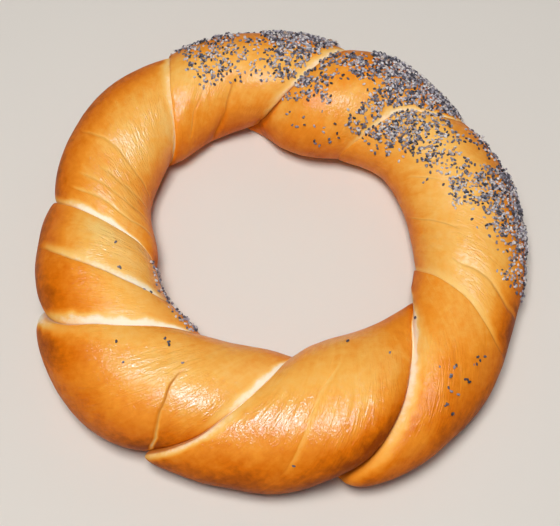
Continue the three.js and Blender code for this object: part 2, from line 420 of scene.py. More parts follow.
def columns_across(number):
    """Across positions of one strand's columns, a row for each clock, with a column on each fold."""
    marks = [fold_across(fold, CLOCKS) for fold in FOLDS if fold["strand"] == number]
    marks.sort(key=lambda mark: mark.mean())
    marks = [np.zeros(len(CLOCKS)), *marks, np.ones(len(CLOCKS))]
    columns = [round(COLUMNS_PER_STRAND * mark.mean()) for mark in marks]
    anchored = np.empty((len(CLOCKS), COLUMNS_PER_STRAND + 1))
    for left, right, first, last in zip(marks, marks[1:], columns, columns[1:]):
        anchored[:, first:last + 1] = left[:, None] + (right - left)[:, None] * crowded_steps(last - first)
    standard = crowded_steps(COLUMNS_PER_STRAND)
    return (standard + (anchored - standard) * above_the_ground(CLOCKS)[:, None])[:, :-1]


strand, clock = (grid.ravel() for grid in np.meshgrid(np.arange(COLUMNS + 1) // COLUMNS_PER_STRAND, CLOCKS))
across = np.hstack([*(columns_across(number) for number in range(STRANDS)), np.zeros((ROWS + 1, 1))]).ravel()
print("grid:", COLUMNS, "by", ROWS, "faces:", COLUMNS * ROWS)

# %% Work out the plain skin, and from it where the ring's middle lies
angle, width, lap_before, lap_after, sunk = plain_skin(strand, across, clock)
plain = to_place(angle, clock, sunk)
low, high = (np.array(corner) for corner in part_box(BREAD_NODE))
RING_MIDDLE = (low + high) / 2 - (plain.min(0) + plain.max(0)) / 2
RING_MIDDLE[2] = 0
print("ring's middle, mm:", (RING_MIDDLE / MM).round(2))

# %% Let the seams wander and the upper strand hang over
WANDER_REACH = 0.5  # share of the strand's width
OVERHANG_REACH = 4.5 * MM
MOST_OF_CURVE = 27 / 256  # the highest value of s (1 - s)^3, which gives the overhang its form
ring_radius = rope_section(angle)[0]
to_before = across * width
to_after = (1 - across) * width
above_ground = above_the_ground(clock)


def hanging_over(distance, lap, hang):
    """How far a strand's edge stands out sideways past the seam at a distance from it."""
    share = np.clip(distance / OVERHANG_REACH, 0, 1)
    return hang * np.clip(lap, 0, 1) * share * (1 - share) ** 3 / MOST_OF_CURVE


pull_before, pull_after = (
    np.clip(1 - distance / (WANDER_REACH * width), 0, 1) ** 2 for distance in (to_before, to_after))
sideways = seam_wander(strand, clock) * pull_before + seam_wander(strand + 1, clock) * pull_after
hang_before = hanging_over(to_before, lap_before, along_seam(HANGS, strand, clock))
hang_after = hanging_over(to_after, lap_after, along_seam(HANGS, strand + 1, clock))
sideways = sideways + (hang_after - hang_before) * above_ground
print("skin moved sideways, mm, at most:", (np.abs(sideways).max() / MM).round(2))

# %% Crease the grooves and raise soft lumps
CREASE_DEPTH = 0.55 * MM
CREASE_HALF_WIDTH = 0.9 * MM
CREASE_SHARPNESS = 1.5
PARTED_DEPTHS = (0.4 * MM, 1.6 * MM)  # a seam this deep has begun to part, or has parted
LUMPS = [(15 * MM, 0.42 * MM), (6.5 * MM, 0.14 * MM)]  # size of a lump and how far it stands out


def of_nearest_seam(rows):
    """A value of the seam that is nearest."""
    return along_seam(rows, np.where(to_before < to_after, strand, strand + 1), clock)


nearest = np.minimum(to_before, to_after)
parted = smooth(*PARTED_DEPTHS, of_nearest_seam(DEPTHS))
line_of_seam = np.clip(of_nearest_seam(LINES), 0, 1)
crease = np.clip(1 - nearest / CREASE_HALF_WIDTH, 0, 1) * line_of_seam
depth = CREASE_DEPTH * crease ** CREASE_SHARPNESS
for size, height in LUMPS:
    depth = depth + height * noise_at(plain, size, seed=size / MM)
print("lumps and creases, mm:", (depth.min() / MM).round(2), "to", (depth.max() / MM).round(2))

# %% Fold the skin
FOLD_LIP = 1.8 * MM
FOLD_SLOPE = 6 * MM
FOLD_FADE = 12  # degrees of clock over which a fold dies out
FOLD_CREASE_HALF_WIDTH = 0.45 * MM
FOLD_BAND_EDGE = (0.3, 1.7)  # shares of the band's width over which it fades


def fold_profile(offset, lap, band_width):
    """How far the skin sinks at an offset from a fold, over its step, and how pale it is there."""
    over_side = offset * lap > 0
    gap = np.abs(offset)
    lip = np.clip(1 - gap / FOLD_LIP, 0, 1)
    slope = np.clip(1 - gap / FOLD_SLOPE, 0, 1)
    sinking = np.where(over_side, 1 - np.sqrt(1 - lip * lip), slope * slope)
    edge = (share * band_width for share in FOLD_BAND_EDGE)
    return sinking, np.where(over_side, 0, 1 - smooth(*edge, gap))


fold_pale = np.zeros(len(clock))
fold_crease_shade = np.zeros(len(clock))
for fold in FOLDS:
    start, end = fold["path"][0][0], fold["path"][-1][0]
    gone = np.clip((clock - start) / (end - start), 0, 1)
    band_width, paleness, line = (first + (last - first) * gone for first, last in (
        np.broadcast_to(fold[name], 2) for name in ("bands", "paleness", "line")))
    offset = (across - fold_across(fold, clock)) * width
    fade = smooth(start - FOLD_FADE, start + FOLD_FADE, clock)
    fade = fade * (1 - smooth(end - FOLD_FADE, end + FOLD_FADE, clock))
    fade = fade * (strand % STRANDS == fold["strand"])
    sinking, band = fold_profile(offset, fold["lap"], band_width * MM)
    depth = depth + fold["step"] * MM * sinking * fade
    fold_pale = np.maximum(fold_pale, paleness * band * fade)
    sharp = np.clip(1 - np.abs(offset) / FOLD_CREASE_HALF_WIDTH, 0, 1)
    fold_crease_shade = np.maximum(fold_crease_shade, line * fade * sharp)
print("share of the skin near a fold:", (fold_crease_shade > 0).mean().round(3))

# %% Crumple the skin
RIDGE_SPACING = 1.9 * MM
RIDGE_LENGTH = 9 * MM
STRANDS_APART = 0.1  # metres between two strands where the ridges are drawn, so that none are alike
ROUNDS_APART = 3.0


def soft_spot(at_strand, at_across, at_clock, reach_across, reach_clock):
    """A soft spot on the skin, 1 in its middle."""
    away = ((across - at_across) / reach_across) ** 2 + ((clock - at_clock) / reach_clock) ** 2
    return np.exp(-away) * (strand % STRANDS == at_strand)


across_length = (strand % STRANDS) * STRANDS_APART + to_before
clock_length = np.radians(clock) * ROPE_HALF_WIDTHS.mean()
ridges = noise_at(np.column_stack(
    [across_length / RIDGE_SPACING, clock_length / RIDGE_LENGTH, strand * ROUNDS_APART]), 1.0)
crumpled = np.zeros(len(clock))
for *place, height in CRUMPLES:
    crumpled = np.maximum(crumpled, height * soft_spot(*place))
depth = depth + crumpled * MM * ridges
print("share of the skin that is crumpled:", (crumpled > 0.1).mean().round(3))

# %% Put it all together
skin = to_place(angle + np.degrees(sideways / ring_radius), clock, sunk + depth * above_ground)
skin = skin + RING_MIDDLE
print("finer form reaches", (depth.min() / MM).round(2), "to", (depth.max() / MM).round(2), "mm")

# %% [markdown]
# ## The bread's skin as a mesh
#
# A flat grid is added with one operator, as a baker's sheet of dough would be, and its points are laid
# round the ring. Its long edges meet straight underneath, two strands further on, because the ropes
# twist. Merging the doubles there and at the ends closes the skin. A torus would not do: its rows
# close on themselves and could not follow the seams.

# %% Roll the grid into the ring
GRID_SIZE = 0.5


def deselect_all():
    """Deselects every object, because an operator acts on all that is selected."""
    bpy.ops.object.select_all(action="DESELECT")


deselect_all()
bpy.ops.mesh.primitive_grid_add(x_subdivisions=COLUMNS, y_subdivisions=ROWS, size=GRID_SIZE)
bread = bpy.context.object
bread.name = "twisted_bread_crust"
flat_grid = np.empty(len(bread.data.vertices) * 3)
bread.data.vertices.foreach_get("co", flat_grid)
flat_grid = flat_grid.reshape(-1, 3)
column = np.rint((flat_grid[:, 0] / GRID_SIZE + 0.5) * COLUMNS).astype(int)
row = np.rint((flat_grid[:, 1] / GRID_SIZE + 0.5) * ROWS).astype(int)
order = row * (COLUMNS + 1) + column
bread.data.vertices.foreach_set("co", skin[order].ravel())
print("vertices laid round the ring:", len(order))

# %% Give the skin its two maps
# One map spreads the whole skin once over a square, for baking. The other is measured in millimetres
# across and along the strand, so that fine wrinkles can follow the twist.
STRAND_MAPS_APART = 100  # mm between two strands on the second map
corner_points = np.empty(len(bread.data.loops), int)
bread.data.loops.foreach_get("vertex_index", corner_points)
loop_column = column[corner_points]
loop_row = row[corner_points]

while bread.data.uv_layers:
    bread.data.uv_layers.remove(bread.data.uv_layers[0])
whole_map = bread.data.uv_layers.new(name="OFBake")
clock_share = (CLOCKS[loop_row] - START_CLOCK) / FULL_TURN
whole_map.data.foreach_set("uv", np.column_stack([loop_column / COLUMNS, clock_share]).ravel())

loop_vertex = loop_row * (COLUMNS + 1) + loop_column
face_of_loop = np.arange(len(loop_vertex)) // 4
first_column = loop_column.reshape(-1, 4).min(1)[face_of_loop]
loop_strand = first_column // COLUMNS_PER_STRAND
at_strand_end = (loop_column % COLUMNS_PER_STRAND == 0) & (loop_column > first_column)
end_across = np.where(at_strand_end, width[np.maximum(loop_vertex - 1, 0)], to_before[loop_vertex])
strand_map = bread.data.uv_layers.new(name="strand_mm")
strand_map.data.foreach_set("uv", np.column_stack(
    [loop_strand * STRAND_MAPS_APART + end_across / MM, clock_length[loop_vertex] / MM]).ravel())
bread.data.uv_layers.active = whole_map
print("maps:", [layer.name for layer in bread.data.uv_layers])

# %% [markdown]
# ## What the colours follow
#
# Six things are written on the skin's points for its material to read. pale is the stretched dough
# that opened in the seams and was never glazed by the boil. browning is darkest underneath, near the
# hot tray, and towards the outer side and the hole, where it is partly the oven's browning and partly
# painted shade of the sides that turn from the light, and of the lips of the strands on top. groove is
# painted shade: the dark line in the creases where two skins touch, and in the folds. crumpled is
# where the skin has ridges, rubbed is the side that was pressed into the seeds, and gloss is how thick
# the glaze lies there. A painted picture could carry them too, but values on the points need no
# picture and stay sharp at any size.

# %% Open the seams
UNEVENNESS = [(8 * MM, 0.35, 3), (2.5 * MM, 0.3, 4)]  # size, share of the band's width, seed
BAND_EDGE = (0.4, 1.6)  # shares of the band's width over which it fades
BAND_START = -0.3 * MM


def beside_the_seam(offset, band_width):
    """The pale strip on one side of a seam: sharp at the crease and softer on its far side."""
    edge = (share * band_width for share in BAND_EDGE)
    return (1 - smooth(*edge, offset)) * smooth(BAND_START, 0, offset)


def band_of_seam(offset, number):
    """The strip of a seam on the side or sides where the dough was stretched, and how pale it is."""
    band_width = along_seam(BANDS, number, clock) * uneven
    after_share = np.clip((1 + along_seam(SIDES, number, clock)) / 2, 0, 1)
    band = after_share * beside_the_seam(offset, band_width)
    band = band + (1 - after_share) * beside_the_seam(-offset, band_width)
    return band, band * np.clip(along_seam(PALENESS, number, clock), 0, 1)


uneven = 1
for size, share, seed in UNEVENNESS:
    uneven = uneven + share * noise_at(plain, size, seed)
stretched_before, pale_before = band_of_seam(to_before, strand)
stretched_after, pale_after = band_of_seam(-to_after, strand + 1)
stretched = np.maximum(stretched_before, stretched_after)
pale = np.maximum.reduce([pale_before, pale_after, fold_pale]) * above_ground
print("pale share of the skin:", pale.mean().round(3))

# %% Brown the skin, partly with painted shade
# Where the skin is browner (+) or paler (-) than its strand: strand, across, clock, how far it reaches
# in across and in clock, and by how much.
TONES = [
    (0, 0.72, 100, 0.18, 25, 0.16),
    (0, 0.97, 150, 0.10, 30, -0.20),
    (1, 0.20, 85, 0.12, 30, -0.12),
    (1, 0.58, 72, 0.12, 14, -0.12),
    (2, 0.05, 140, 0.12, 28, -0.22),
    (2, 0.35, 128, 0.25, 25, -0.10),
    (2, 0.86, 45, 0.09, 40, 0.06),
    (2, 0.95, 95, 0.08, 25, 0.10),
    (3, 0.28, 98, 0.20, 32, -0.15),
    (3, 0.12, 96, 0.06, 14, -0.22),
    (3, 0.42, 84, 0.07, 12, -0.16),
    (3, 0.60, 80, 0.14, 20, 0.10),
    (3, 0.75, 60, 0.25, 45, 0.14),
    (3, 0.82, 68, 0.14, 24, 0.12),
    (4, 0.15, 40, 0.12, 34, 0.22),
    (4, 0.50, 42, 0.22, 18, -0.10),
    (4, 0.46, 36, 0.10, 12, 0.10),
    (4, 0.92, 32, 0.12, 24, 0.18),
    # The next spot is painted shade, in the dip where this strand's end meets the next strand at the outer
    # edge.
    (4, 0.95, 8, 0.10, 16, 0.12),
    (5, 0.05, 38, 0.10, 22, -0.15),
    (5, 0.25, 50, 0.25, 22, -0.10),
    (5, 0.78, 45, 0.16, 40, 0.12),
    (5, 0.92, 80, 0.14, 80, 0.20),
    (6, 0.16, 30, 0.14, 20, -0.25),
    (6, 0.16, 115, 0.14, 30, -0.25),
    (6, 0.17, 150, 0.10, 13, 0.30),
    (6, 0.45, 118, 0.12, 40, 0.10),
    (6, 0.80, 52, 0.30, 18, -0.12),
    (7, 0.10, 25, 0.14, 24, 0.28),
]
# The scorch below is partly browning and partly painted shade: the lip of the strand on top turns from the
# light as it goes down to the seam.
SCORCH_AND_SHADE_PER_MM = 0.06  # the strand on top is browner where it turns down to the seam
BLEND_REACH = 7 * MM  # where a seam has not parted, the strands' browning runs into each other


def soft_spots(places):
    """Soft spots on the skin, from a list like the one above."""
    total = np.zeros(len(clock))
    for *place, amount in places:
        total += amount * soft_spot(*place)
    return total


lap_nearest = np.where(to_before < to_after, lap_before, lap_after)
neighbour = np.where(to_before < to_after, strand - 1, strand + 1)
shared = 0.5 * np.clip(1 - nearest / BLEND_REACH, 0, 1) * (1 - parted)
# The browning rows are darker towards the outer edge and the hole; part of that is painted shade of the
# sides that turn from the light.
browning_and_shade = (1 - shared) * along_seam(BROWNING_AND_SHADE, strand, clock)
browning_and_shade = browning_and_shade + shared * along_seam(BROWNING_AND_SHADE, neighbour, clock)
# painted shade, partly scorch, on the lips of the strands on top
browning_and_shade = browning_and_shade + SCORCH_AND_SHADE_PER_MM * np.clip(sunk, 0, None) / MM * (lap_nearest > 0)
browning_and_shade = browning_and_shade + soft_spots(TONES)
print("browning:", browning_and_shade.min().round(2), "to", browning_and_shade.max().round(2))

# %% Paint shade into the grooves and thin the glaze
GROOVE_SHADE_EDGE = (0.15 * MM, 0.65 * MM)  # from the seam
RUBBED_FROM = (-58, -40)  # degrees of ring angle over which the pressed side starts and ends
RUBBED_TO = (122, 134)
# Where the glaze is thicker (+) or thinner (-), given as the browner and paler places are.
GLOSSES = [
    (1, 0.44, 110, 0.16, 18, -0.5),
    (1, 0.80, 118, 0.14, 30, -0.4),
    (2, 0.88, 96, 0.08, 26, -0.6),
    (2, 0.96, 90, 0.06, 24, -0.4),
    (3, 0.76, 96, 0.26, 30, -0.95),
    (4, 0.50, 75, 0.12, 16, -0.85),
    (4, 0.78, 80, 0.12, 14, 0.15),
    (5, 0.20, 76, 0.14, 13, 0.4),
    (5, 0.44, 88, 0.05, 40, -0.7),
    (5, 0.53, 82, 0.07, 16, -0.45),
    (5, 0.64, 80, 0.12, 15, -0.15),
    (6, 0.14, 58, 0.18, 26, -0.75),
]
# groove is painted shade: a dark line where two skins meet in a seam's crease, as strong as the seam's line,
# and in the folds' creases.
groove = np.maximum((1 - smooth(*GROOVE_SHADE_EDGE, nearest)) * line_of_seam, fold_crease_shade)
pressed_side = (angle + QUARTER) % FULL_TURN - QUARTER
rubbed = smooth(*RUBBED_FROM, pressed_side) * (1 - smooth(*RUBBED_TO, pressed_side))
gloss = 1 + soft_spots(GLOSSES)
print("gloss:", gloss.min().round(2), "to", gloss.max().round(2))

# %% Write them on the points
WRITTEN = dict(
    pale=pale, browning_and_shade=browning_and_shade, groove=groove, crumpled=crumpled, rubbed=rubbed, gloss=gloss)
for name, values in WRITTEN.items():
    attribute = bread.data.attributes.new(name, "FLOAT", "POINT")
    attribute.data.foreach_set("value", values[order].astype(np.float32))
print("written:", list(WRITTEN))

# %% Close the skin
bpy.ops.object.mode_set(mode="EDIT")
bpy.ops.mesh.select_all(action="SELECT")
bpy.ops.mesh.remove_doubles(threshold=0.01 * MM)
bpy.ops.mesh.normals_make_consistent(inside=False)
bpy.ops.object.mode_set(mode="OBJECT")
bpy.ops.object.shade_smooth()

check = bmesh.new()
check.from_mesh(bread.data)
open_edges = sum(not edge.is_manifold for edge in check.edges)
volume = check.calc_volume(signed=True)
check.free()
print("faces:", len(bread.data.polygons), "open edges:", open_edges)
print("volume, cm3:", round(volume / (10 * MM) ** 3, 1))

# %% [markdown]
# ## A finish made of nodes
#
# A material is a tree of nodes. One small function adds a node, sets what it is and what goes into it,
# and that is all the help that the trees below need. Colours are written as sRGB hex values, as a
# painter would read them off a chart, and one function turns them linear for the renderer.

# %% Helpers for materials


def linear(hex_colour, alpha=1.0):
    """An sRGB hex colour as the linear values that Blender works in."""
    parts = [int(hex_colour[place:place + 2], 16) / 255 for place in (1, 3, 5)]
    bent = [part / 12.92 if part <= 0.04045 else ((part + 0.055) / 1.055) ** 2.4 for part in parts]
    return (*bent, alpha)


def add_node(tree, kind, inputs=None, **settings):
    """Adds a node with its settings and inputs. A node given as an input is linked by its first output."""
    node = tree.nodes.new("ShaderNode" + kind)
    for name, value in settings.items():
        setattr(node, name, value)
    for name, value in (inputs or {}).items():
        if isinstance(value, bpy.types.Node):
            value = value.outputs[0]
        if isinstance(value, bpy.types.NodeSocket):
            tree.links.new(value, node.inputs[name])
        else:
            node.inputs[name].default_value = value
    return node


def add_ramp(tree, value, steps):
    """Adds a colour ramp that goes through the given positions and colours."""
    ramp = add_node(tree, "ValToRGB", {"Fac": value})
    elements = ramp.color_ramp.elements
    elements.remove(elements[1])
    elements[0].position = steps[0][0]
    elements[0].color = linear(steps[0][1])
    for position, hex_colour in steps[1:]:
        elements.new(position).color = linear(hex_colour)
    return ramp


def new_material(name):
    """An empty material with its tree."""
    material = bpy.data.materials.new(name)
    material.use_nodes = True
    material.node_tree.nodes.clear()
    return material, material.node_tree


print("a mid crust colour, linear:", [round(part, 3) for part in linear("#f0a038")])

# %% [markdown]
# ## The crust: boiled and baked wheat dough
#
# Boiling sets the starch on the skin to a thin clear glaze, and the oven browns it from gold to
# orange-brown. So the finish is a coloured base under a thin glossy coat. Where the seams opened, the
# dough is pale and dry, and the gloss is weaker. The skin has fine wrinkles along the strands, about
# a millimetre apart, and a fine crackle all over.

# %% Read what the points carry
WRINKLES_PER_MM = 0.9  # across the strand
WRINKLES_PER_MM_ALONG = 0.26

crust, tree = new_material("boiled_and_baked_wheat_crust")
place = add_node(tree, "TexCoord").outputs["Object"]
strand_place = add_node(tree, "UVMap", uv_map="strand_mm")
carried = {name: add_node(tree, "Attribute", attribute_name=name).outputs["Fac"] for name in WRITTEN}
along = add_node(tree, "Mapping",
                 {"Vector": strand_place, "Scale": (WRINKLES_PER_MM, WRINKLES_PER_MM_ALONG, 1)})
print("read from the points:", list(carried))

# %% Bake the colour
# How brown the skin is comes from the browning on its points, which is partly the oven's browning and
# partly painted shade, made uneven by clouds about 17 mm wide, by streaks that run with the strand,
# and by mottles of about two millimetres.
BAKING_STEPS = [(0.0, "#fad07c"), (0.28, "#f7b552"), (0.5, "#f0962a"), (0.76, "#dc7206"), (1.0, "#964202")]
CLOUDS_PER_MM = 0.06
STREAKS_PER_WRINKLE = 0.4
MOTTLES_PER_MM = 0.45

clouds = add_node(tree, "TexNoise",
                  {"Vector": place, "Scale": CLOUDS_PER_MM / MM, "Detail": 5, "Roughness": 0.62})
streaks = add_node(tree, "TexNoise",
                   {"Vector": along, "Scale": STREAKS_PER_WRINKLE, "Detail": 4, "Roughness": 0.6,
                    "Distortion": 0.6})
mottles = add_node(tree, "TexNoise",
                   {"Vector": place, "Scale": MOTTLES_PER_MM / MM, "Detail": 3, "Roughness": 0.6})
browned_and_shaded = carried["browning_and_shade"]
for pattern, weight in ((clouds, 0.5), (streaks, 0.26), (mottles, 0.3)):
    centred = add_node(tree, "Math", {0: pattern, 1: 0.5}, operation="SUBTRACT")
    browned_and_shaded = add_node(tree, "Math", {0: centred, 1: weight, 2: browned_and_shaded}, operation="MULTIPLY_ADD")
share_baked = add_node(tree, "MapRange",
                       {"Value": carried["pale"], "From Max": 0.4, "To Min": 1.0, "To Max": 0.2})
baked_and_shaded = add_node(tree, "Math", {0: browned_and_shaded, 1: share_baked}, operation="MULTIPLY")
gold_to_brown = add_ramp(tree, baked_and_shaded, BAKING_STEPS)
print("baking steps:", len(BAKING_STEPS))

# %% Let the dough show in the seams
# Stretched dough browned less, and where it opened most it is cream, with a torn edge. Over it the
# grooves get their painted shade, a dark line in each crease.
PALE_DOUGH = "#fcf2da"
GROOVE_SHADE_BROWN = "#b65f10"
TEARS_PER_MM = 0.6

tears = add_node(tree, "TexNoise",
                 {"Vector": place, "Scale": TEARS_PER_MM / MM, "Detail": 3, "Roughness": 0.6})
torn = add_node(tree, "Math", {0: tears, 1: 0.5, 2: carried["pale"]}, operation="MULTIPLY_ADD")
cream = add_node(tree, "MapRange", {"Value": torn, "From Min": 0.6, "From Max": 1.15},
                 interpolation_type="SMOOTHSTEP")
colour = gold_to_brown.outputs["Color"]
for share, laid_over in ((cream, PALE_DOUGH), (carried["groove"], GROOVE_SHADE_BROWN)):
    colour = add_node(tree, "Mix", {"Factor": share, 6: colour, 7: linear(laid_over)},
                      data_type="RGBA").outputs[2]
print("pale dough, linear:", [round(part, 3) for part in linear(PALE_DOUGH)])

# %% Wrinkle the skin
# Two reliefs lie on each other: wrinkles that follow the strand, strongest where the skin is crumpled,
# and a fine crackle like that of creased paper. The dough under the glaze shows them softly, the glaze
# itself in full, and so every reflection is broken up into small glints.
WRINKLE_HEIGHT = 0.32 * MM
WRINKLED_PATCHES_PER_MM = 0.08
CRACKLE_SIZE = 1.0 * MM
CRACKLE_HEIGHT = 0.14 * MM

wrinkles = add_node(tree, "TexNoise",
                    {"Vector": along, "Scale": 1.0, "Detail": 1.5, "Roughness": 0.5, "Distortion": 1.4})
patches = add_node(tree, "TexNoise",
                   {"Vector": place, "Scale": WRINKLED_PATCHES_PER_MM / MM, "Detail": 2})
patch_strength = add_node(tree, "MapRange",
                          {"Value": patches, "From Min": 0.4, "From Max": 0.62,
                           "To Min": 0.12, "To Max": 0.7})
wrinkle_strength = add_node(tree, "Math", {0: carried["crumpled"], 1: 2.0, 2: patch_strength},
                            operation="MULTIPLY_ADD", use_clamp=True)
wrinkle_bump = add_node(tree, "Bump",
                        {"Strength": wrinkle_strength, "Distance": WRINKLE_HEIGHT, "Height": wrinkles})
crackle = add_node(tree, "TexNoise",
                   {"Vector": place, "Scale": 1 / CRACKLE_SIZE, "Detail": 1, "Roughness": 0.5,
                    "Distortion": 1.2})
dough_bump, glaze_bump = (
    add_node(tree, "Bump", {"Strength": strength, "Distance": CRACKLE_HEIGHT, "Height": crackle,
                            "Normal": wrinkle_bump}) for strength in (0.35, 1.0))
print("wrinkles to the mm:", WRINKLES_PER_MM, "crackle, mm:", round(CRACKLE_SIZE / MM, 2))

# %% Lay the glaze
# The glaze is thickest on top, and thin where the oven dried the skin most. Where the dough opened and
# in the grooves there is none. On the side that was pressed into the seeds it is half rubbed off.
glaze_left = add_node(tree, "MapRange",
                      {"Value": carried["browning_and_shade"], "From Min": 0.35, "From Max": 0.82,
                       "To Min": 0.9, "To Max": 0.03})
opened = add_node(tree, "Math", {0: carried["pale"], 1: carried["groove"]}, operation="ADD")
unopened = add_node(tree, "MapRange",
                    {"Value": opened, "From Min": 0.1, "From Max": 0.5, "To Min": 1, "To Max": 0})
thinned = add_node(tree, "MapRange", {"Value": carried["rubbed"], "To Min": 1.0, "To Max": 0.42})
glaze = glaze_left
for share in (unopened, thinned, carried["gloss"]):
    glaze = add_node(tree, "Math", {0: glaze, 1: share}, operation="MULTIPLY")
glaze.use_clamp = True
print("crust nodes so far:", len(tree.nodes))

# %% Finish the crust
# The dough under the glaze is matt, and a little light goes into it. Cooked starch bends light as
# clear sugar does, and the glaze is smooth.
GLAZE_ROUGHNESS = 0.22
roughness = add_node(tree, "MapRange", {"Value": carried["pale"], "To Min": 0.5, "To Max": 0.65})
surface = add_node(tree, "BsdfPrincipled",
                   {"Base Color": colour, "Roughness": roughness, "Normal": dough_bump, "IOR": 1.45,
                    "Specular IOR Level": 0.05, "Coat Weight": glaze, "Coat Roughness": GLAZE_ROUGHNESS,
                    "Coat IOR": 1.5, "Coat Normal": glaze_bump, "Subsurface Weight": 0.06,
                    "Subsurface Scale": 2 * MM, "Subsurface Radius": (1.0, 0.45, 0.15)})
add_node(tree, "OutputMaterial", {"Surface": surface})
bread.data.materials.append(crust)
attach(bread, BODY)
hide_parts(BREAD_NODE)
print("crust nodes:", len(tree.nodes))

# %% [markdown]
# ## Poppy seeds
#
# A poppy seed is a kidney about a millimetre long, slate blue to grey. The wet ring was pressed into
# them on one side, so they lie thick on its outer and upper side and thin out towards the hole. A
# particle system could strew them, but the kept mesh has no particles, so one seed is shaped and
# copied into a single mesh, each copy turned, sized and sunk a little into the skin.

# %% Shape one seed
SEED_LENGTH = 1.1 * MM
SEED_WIDTH = 0.83 * MM
SEED_THICKNESS = 0.75 * MM
SEED_NOTCH = 0.16 * MM
NOTCH_HALF_LENGTH = 0.2 * MM
NOTCH_FROM_MIDDLE = 0.25 * MM

deselect_all()
bpy.ops.mesh.primitive_uv_sphere_add(segments=5, ring_count=4, radius=0.5)
seed = bpy.context.object
bpy.ops.object.mode_set(mode="EDIT")
bpy.ops.transform.resize(value=(SEED_WIDTH, SEED_THICKNESS, SEED_LENGTH), center_override=(0, 0, 0))
bpy.ops.mesh.select_all(action="DESELECT")
bpy.ops.object.mode_set(mode="OBJECT")
for vertex in seed.data.vertices:
    vertex.select = abs(vertex.co.z) < NOTCH_HALF_LENGTH and vertex.co.x > NOTCH_FROM_MIDDLE
bpy.ops.object.mode_set(mode="EDIT")
bpy.ops.transform.translate(value=(-SEED_NOTCH, 0, 0))
bpy.ops.object.mode_set(mode="OBJECT")
lying_down = [2, 0, 1]  # the seed's length along X and its thickness upright
seed_points = np.array([vertex.co[:] for vertex in seed.data.vertices])[:, lying_down]
seed_faces = [list(face.vertices) for face in seed.data.polygons]
bpy.data.objects.remove(seed)
print("one seed:", len(seed_faces), "faces, mm:", (np.ptp(seed_points, axis=0) / MM).round(2))

# %% Where the seeds stuck
# Each patch has its strand, from which ring angle and clock to which it goes, and how many seeds lie
# on a square millimetre.
SEED_PATCHES = [
    (7, (-12, 2), (-20, 60), 0.5),
    (7, (0, 21), (-20, 74), 1.45),
    (7, (8, 23), (72, 106), 0.8),
    (7, (18, 33), (-20, 45), 0.55),
    (7, (24, 37), (80, 118), 1.0),
    (7, (30, 44), (62, 86), 0.8),
    (7, (37, 50), (84, 126), 1.9),
    (7, (44, 59), (112, 141), 1.8),
    (7, (0, 10), (60, 100), 0.05),
    (7, (36, 60), (125, 150), 0.08),
    (0, (38, 65), (-20, 80), 2.6),
    (0, (62, 73), (60, 84), 2.2),
    (0, (46, 60), (76, 122), 1.5),
    (0, (54, 62), (112, 136), 1.1),
    (0, (73, 90), (82, 118), 1.1),
    (0, (66, 82), (60, 84), 0.9),
    (0, (62, 90), (132, 158), 0.06),
    (1, (76, 94), (-20, 58), 2.7),
    (1, (76, 94), (44, 102), 1.6),
    (1, (92, 105), (58, 104), 0.5),
    (1, (92, 105), (-20, 20), 0.4),
    (1, (103, 116), (20, 112), 0.85),
    (3, (188, 226), (152, 205), 0.25),
]
# Single seeds that dropped elsewhere: strand, across and clock.
LONE_SEEDS = [
    (4, 0.15, 88), (4, 0.19, 114), (4, 0.23, 115), (4, 0.27, 113), (4, 0.46, 104), (4, 0.29, 82),
    (5, 0.54, 138), (5, 0.85, 110), (5, 0.53, 38), (6, 0.01, 62), (6, 0.23, 128),
    (3, 0.41, 112), (3, 0.43, 115), (3, 0.18, 108), (3, 0.56, 134), (3, 0.53, 142), (3, 0.13, 148),
    (6, 0.35, 74), (6, 0.46, 62), (6, 0.48, 65), (6, 0.51, 66), (6, 0.41, 56), (6, 0.43, 53), (6, 0.59, 50),
    (6, 0.61, 48), (6, 0.49, 46), (6, 0.38, 46), (6, 0.40, 47), (6, 0.43, 38), (6, 0.45, 36), (6, 0.77, 50),
    (6, 0.83, 46), (6, 0.71, 52), (6, 0.73, 50), (6, 0.76, 54), (6, 0.42, 62), (6, 0.36, 48), (6, 0.58, 52),
    (0, 0.88, 138), (0, 0.77, 150), (0, 0.72, 146), (0, 0.64, 142), (0, 0.41, 140), (0, 0.26, 154),
]
PATCH_FADE = 2.5  # degrees of ring angle
PATCH_CLOCK_FADE = 7


def seeds_per_mm2(at_strand, at_angle, at_clock, clumps):
    """How thick the seeds lie at a place on the skin. Where they clump, a patch's edge moves out."""

    def between(start, end, fade, value):
        """1 between start and end, fading at both."""
        inside = smooth(start - fade, start + fade, value + fade * clumps)
        return inside * (1 - smooth(end - fade, end + fade, value - fade * clumps))

    most = np.zeros(len(at_angle))
    for patch_strand, angles, clocks, per_mm2 in SEED_PATCHES:
        turned = (at_angle - angles[0] + QUARTER) % FULL_TURN - QUARTER
        inside = between(0, angles[1] - angles[0], PATCH_FADE, turned)
        inside = inside * between(*clocks, PATCH_CLOCK_FADE, at_clock)
        most = np.maximum(most, inside * per_mm2 * (at_strand % STRANDS == patch_strand))
    return most


print("patches:", len(SEED_PATCHES), "lone seeds:", len(LONE_SEEDS))

